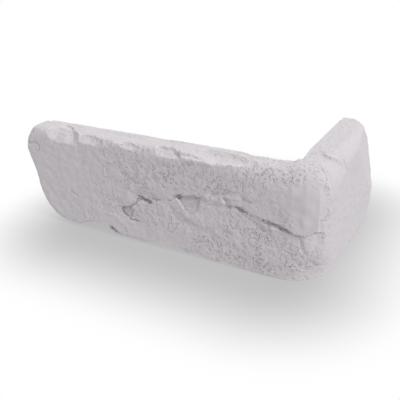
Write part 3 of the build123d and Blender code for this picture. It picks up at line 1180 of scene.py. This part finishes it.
class SLIP_OT_mix_finish(bpy.types.Operator):
    """Makes the finishes of the cast body: its moulded skin and its raw back"""

    bl_idname = "brick_slip.mix_finish"
    bl_label = "Mix Finish"

    def execute(self, context):
        looks = context.scene.slip_finish
        groups = {"grain": grain_group(), "wear_and_painted_light": shade_and_highlight_group()}
        skin = {"Grain Size": 1.0, "Streak": 0.25, "Pits": 0.7, "Mottle": 0.02, "Bump": 1.6}
        raw = {"Grain Size": 1.5, "Streak": 0.0, "Pits": 1.0, "Mottle": 0.09, "Bump": 0.6}
        cast_material("Cast skin", groups, looks, skin)
        cast_material("Raw cast back", groups, looks, raw)
        return {"FINISHED"}


class SLIP_OT_shape_body(bpy.types.Operator):
    """Shapes the cast body with its worn ends, fracture and chips"""

    bl_idname = "brick_slip.shape_body"
    bl_label = "Shape Body"

    def execute(self, context):
        sizes = sizes_in_mm(context)
        across, back = sizes["header_thickness"], sizes["stretcher_thickness"]
        far, deep, height = sizes["stretcher_length"], sizes["header_length"], sizes["height"]
        plan = [(0, 0), (far, 0), (far, back), (across, back), (across, deep), (0, deep)]
        rough = bmesh.new()
        bottom = rough.faces.new([rough.verts.new(((across - u) * MM, (v - back) * MM, 0)) for u, v in plan])
        raised = bmesh.ops.extrude_face_region(rough, geom=[bottom])["geom"]
        upper = [made for made in raised if isinstance(made, bmesh.types.BMVert)]
        bmesh.ops.translate(rough, verts=upper, vec=(0, 0, height * MM))
        bmesh.ops.recalc_face_normals(rough, faces=rough.faces)
        piece = add_piece(BODY, rough)
        finest = context.scene.slip_sizes.cell
        cells = ((2.0 * MM, 6, 3.0), (1.0 * MM, 3, 1.5), (finest, 2, 0.8))
        for cell, turns, stride in cells:
            remesh(piece, cell)
            points, _ = settle(body_points(piece.data, sizes), sizes, turns, stride)
            put_points(piece.data, points, sizes)
        if len(piece.data.polygons) < FEWEST_FACES:
            raise RuntimeError("the body's mesh came out empty")
        return {"FINISHED"}


class SLIP_OT_weather_skin(bpy.types.Operator):
    """Weathers the moulded skin with lumps, creases, grain and pits"""

    bl_idname = "brick_slip.weather_skin"
    bl_label = "Weather Skin"

    def execute(self, context):
        mesh = bpy.data.objects[BODY].data
        sizes, wear_and_painted_light = sizes_in_mm(context), context.scene.slip_wear
        points, outward = settle(body_points(mesh, sizes), sizes, 0)
        plain = self.plain_share(points, outward, sizes)
        worn = self.worn_share(points, outward) * (1 - 0.75 * plain)
        for name, values in (("skin", 1 - 0.8 * plain), ("worn", worn), ("plain", plain)):
            layer = mesh.attributes.new(name, "FLOAT", "POINT")
            layer.data.foreach_set("value", values.astype(np.float32))
        piece = bpy.data.objects[BODY]
        heights = {"Lump Height": wear_and_painted_light.lump, "Grain Height": wear_and_painted_light.grain, "Crease Depth": wear_and_painted_light.crease}
        run_tree(piece, weathering_tree(), {**heights, "Seed": float(wear_and_painted_light.seed)})
        density = wear_and_painted_light.pits * PER_SQUARE_DECIMETRE
        run_tree(piece, pitting_tree(), {"Density": density, "Radius": wear_and_painted_light.pit, "Seed": wear_and_painted_light.seed})
        return {"FINISHED"}

    def plain_share(self, points, outward, sizes):
        """1 on the backs and the bed, which the mould left plain."""
        u, v, z = points.T
        across, back = sizes["header_thickness"], sizes["stretcher_thickness"]
        behind_header = np.abs(across - u) + 99 * (v < back)
        behind_stretcher = np.abs(back - v) + 99 * (u < across)
        rear = step(2.4, 0.9, np.minimum(behind_header, behind_stretcher))
        rear *= step(0.3, 0.8, np.maximum(outward[:, 0], outward[:, 1]))
        under = step(1.6, 0.3, z) * step(0.3, 0.8, -outward[:, 2])
        return np.maximum(rear, under)

    def worn_share(self, points, outward):
        """How busy the skin is at each point."""
        u, v, z = points.T
        front, side = step(0.3, 0.7, -outward[:, 1]), step(0.5, 0.9, -outward[:, 0])
        patches = step(-0.35, 0.35, wander(points, *PATCH_WAVER))
        worn = 0.35 + 0.45 * front * patches * (1 - 0.7 * step(128, 150, u)) - 0.15 * side * step(10, 18, v)
        for (middle_u, middle_z), (half_u, half_z), change in SKIN_PATCHES:
            gap = np.hypot((u - middle_u) / half_u, (z - middle_z) / half_z)
            worn += change * front * step(1.15, 0.7, gap)
        worn += 0.35 * step(0.2, 0.6, outward[:, 2]) * front * step(66, 50, u)
        worn += 0.4 * step(0.1, 0.5, outward[:, 2]) * step(44, 34, u) * step(24, 16, v) * step(50, 58, z)
        worn += 0.22 * step(16, 6, v) * step(0.3, 0.9, -outward[:, 0]) * step(24, 44, z)
        return np.maximum(worn, 0.05)


class SLIP_OT_finish_body(bpy.types.Operator):
    """Thins the plain back's mesh, paints the finishes and seats the piece on the CAD body"""

    bl_idname = "brick_slip.finish_body"
    bl_label = "Finish Body"

    def execute(self, context):
        piece = bpy.data.objects[BODY]
        mesh = piece.data
        layer = mesh.attributes.new("relief", "FLOAT", "POINT")
        layer.data.foreach_set("value", relief_of(mesh).astype(np.float32))
        triangles = sum(len(face.vertices) - 2 for face in mesh.polygons)
        if triangles > MOST_TRIANGLES:
            self.thin_plain(piece, MOST_TRIANGLES / triangles)
            mesh = piece.data
        mesh.materials.clear()
        for name in ("Cast skin", "Raw cast back"):
            mesh.materials.append(bpy.data.materials[name])
        plain = read_values(mesh.attributes["plain"].data, "value", kind=np.float32)
        rear = [int(all(plain[i] > 0.5 for i in face.vertices)) for face in mesh.polygons]
        mesh.polygons.foreach_set("material_index", rear)
        mesh.polygons.foreach_set("use_smooth", [True] * len(mesh.polygons))
        for name in ("skin", "plain"):
            mesh.attributes.remove(mesh.attributes[name])
        mesh.update()
        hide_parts(NODE)
        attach(piece, "root")
        return {"FINISHED"}

    def thin_plain(self, piece, ratio):
        """Takes triangles out of the plain backs and bed, until this share of all is left."""
        plain = read_values(piece.data.attributes["plain"].data, "value", kind=np.float32)
        group = piece.vertex_groups.new(name="plain")
        for index in np.nonzero(plain > 0.5)[0].tolist():
            group.add([index], 1.0, "REPLACE")
        thin = piece.modifiers.new("thin", "DECIMATE")
        thin.ratio = ratio
        thin.vertex_group = "plain"
        thin.vertex_group_factor = 1.0
        bake(piece)
        piece.vertex_groups.clear()


class SLIP_OT_set_stage(bpy.types.Operator):
    """Sets the pale floor, the soft light and the camera"""

    bl_idname = "brick_slip.set_stage"
    bl_label = "Set Stage"

    def execute(self, context):
        scene, looks = context.scene, context.scene.slip_stage
        scene.view_settings.view_transform = "Standard"

        ring = bmesh.new()
        bmesh.ops.create_circle(ring, cap_ends=True, segments=64, radius=FLOOR_RADIUS)
        floor = add_piece("floor", ring)
        floor.data.materials.append(floor_material(looks))

        world = bpy.data.worlds.new("soft surround")
        tree = empty_tree(world)
        strength = mix(tree, seen_directly(tree), looks.sky, 1.0)
        sky = put(tree, "ShaderNodeBackground", {"Color": (1, 1, 1, 1), "Strength": strength})
        put(tree, "ShaderNodeOutputWorld", {"Surface": sky.outputs[0]})
        scene.world = world

        for name, energy, wide, way in (
            ("side light", looks.side, 24, (0.75, -0.2, 0.63)),
            ("top light", looks.top, 50, (-0.2, 0.7, 0.69)),
        ):
            lamp = bpy.data.lights.new(name, "SUN")
            lamp.energy = energy
            lamp.angle = math.radians(wide)
            holder = bpy.data.objects.new(name, lamp)
            holder.rotation_euler = Vector(way).to_track_quat("Z", "Y").to_euler()
            scene.collection.objects.link(holder)

        turn, rise, roll = (math.radians(angle) for angle in CAMERA_ANGLES)
        back = Vector((math.sin(turn) * math.cos(rise), -math.cos(turn) * math.cos(rise), math.sin(rise)))
        right = Vector((math.cos(turn), math.sin(turn), 0))
        up = back.cross(right)
        across = math.cos(roll) * right + math.sin(roll) * up
        upward = -math.sin(roll) * right + math.cos(roll) * up
        eye = bpy.data.cameras.new("camera")
        eye.sensor_width = 36.0
        eye.lens = looks.lens
        eye.clip_start, eye.clip_end = 0.01, 20.0
        camera = bpy.data.objects.new("camera", eye)
        facing = Matrix((across, upward, back)).transposed().to_4x4()
        camera.matrix_world = Matrix.Translation(CAMERA_PLACE) @ facing
        scene.collection.objects.link(camera)
        scene.camera = camera
        return {"FINISHED"}


# Panel and run


class SLIP_PT_bench(bpy.types.Panel):
    """Lists the steps that make the slip"""

    bl_label = "Corner Brick Slip"
    bl_idname = "SLIP_PT_bench"
    bl_space_type = "VIEW_3D"
    bl_region_type = "UI"
    bl_category = "Brick Slip"

    def draw(self, context):
        layout = self.layout
        for owner, kind in GROUPS.items():
            box = layout.box()
            for name in kind.__annotations__:
                box.prop(getattr(context.scene, owner), name)
        for step_kind in STEPS:
            layout.operator(step_kind.bl_idname)


GROUPS = {
    "slip_sizes": SlipSizes,
    "slip_wear": WearSizes,
    "slip_finish": FinishLooks,
    "slip_stage": StageLooks,
}
STEPS = (
    SLIP_OT_mix_finish,
    SLIP_OT_shape_body,
    SLIP_OT_weather_skin,
    SLIP_OT_finish_body,
    SLIP_OT_set_stage,
)


def register():
    for kind in (*GROUPS.values(), *STEPS, SLIP_PT_bench):
        bpy.utils.register_class(kind)
    for owner, kind in GROUPS.items():
        setattr(bpy.types.Scene, owner, PointerProperty(type=kind))


def unregister():
    for owner in GROUPS:
        delattr(bpy.types.Scene, owner)
    for kind in (SLIP_PT_bench, *reversed(STEPS), *reversed(GROUPS.values())):
        bpy.utils.unregister_class(kind)


def main():
    register()
    bpy.ops.brick_slip.mix_finish()
    bpy.ops.brick_slip.shape_body()
    bpy.ops.brick_slip.weather_skin()
    bpy.ops.brick_slip.finish_body()
    bpy.ops.brick_slip.set_stage()


if __name__ == "__main__":
    main()
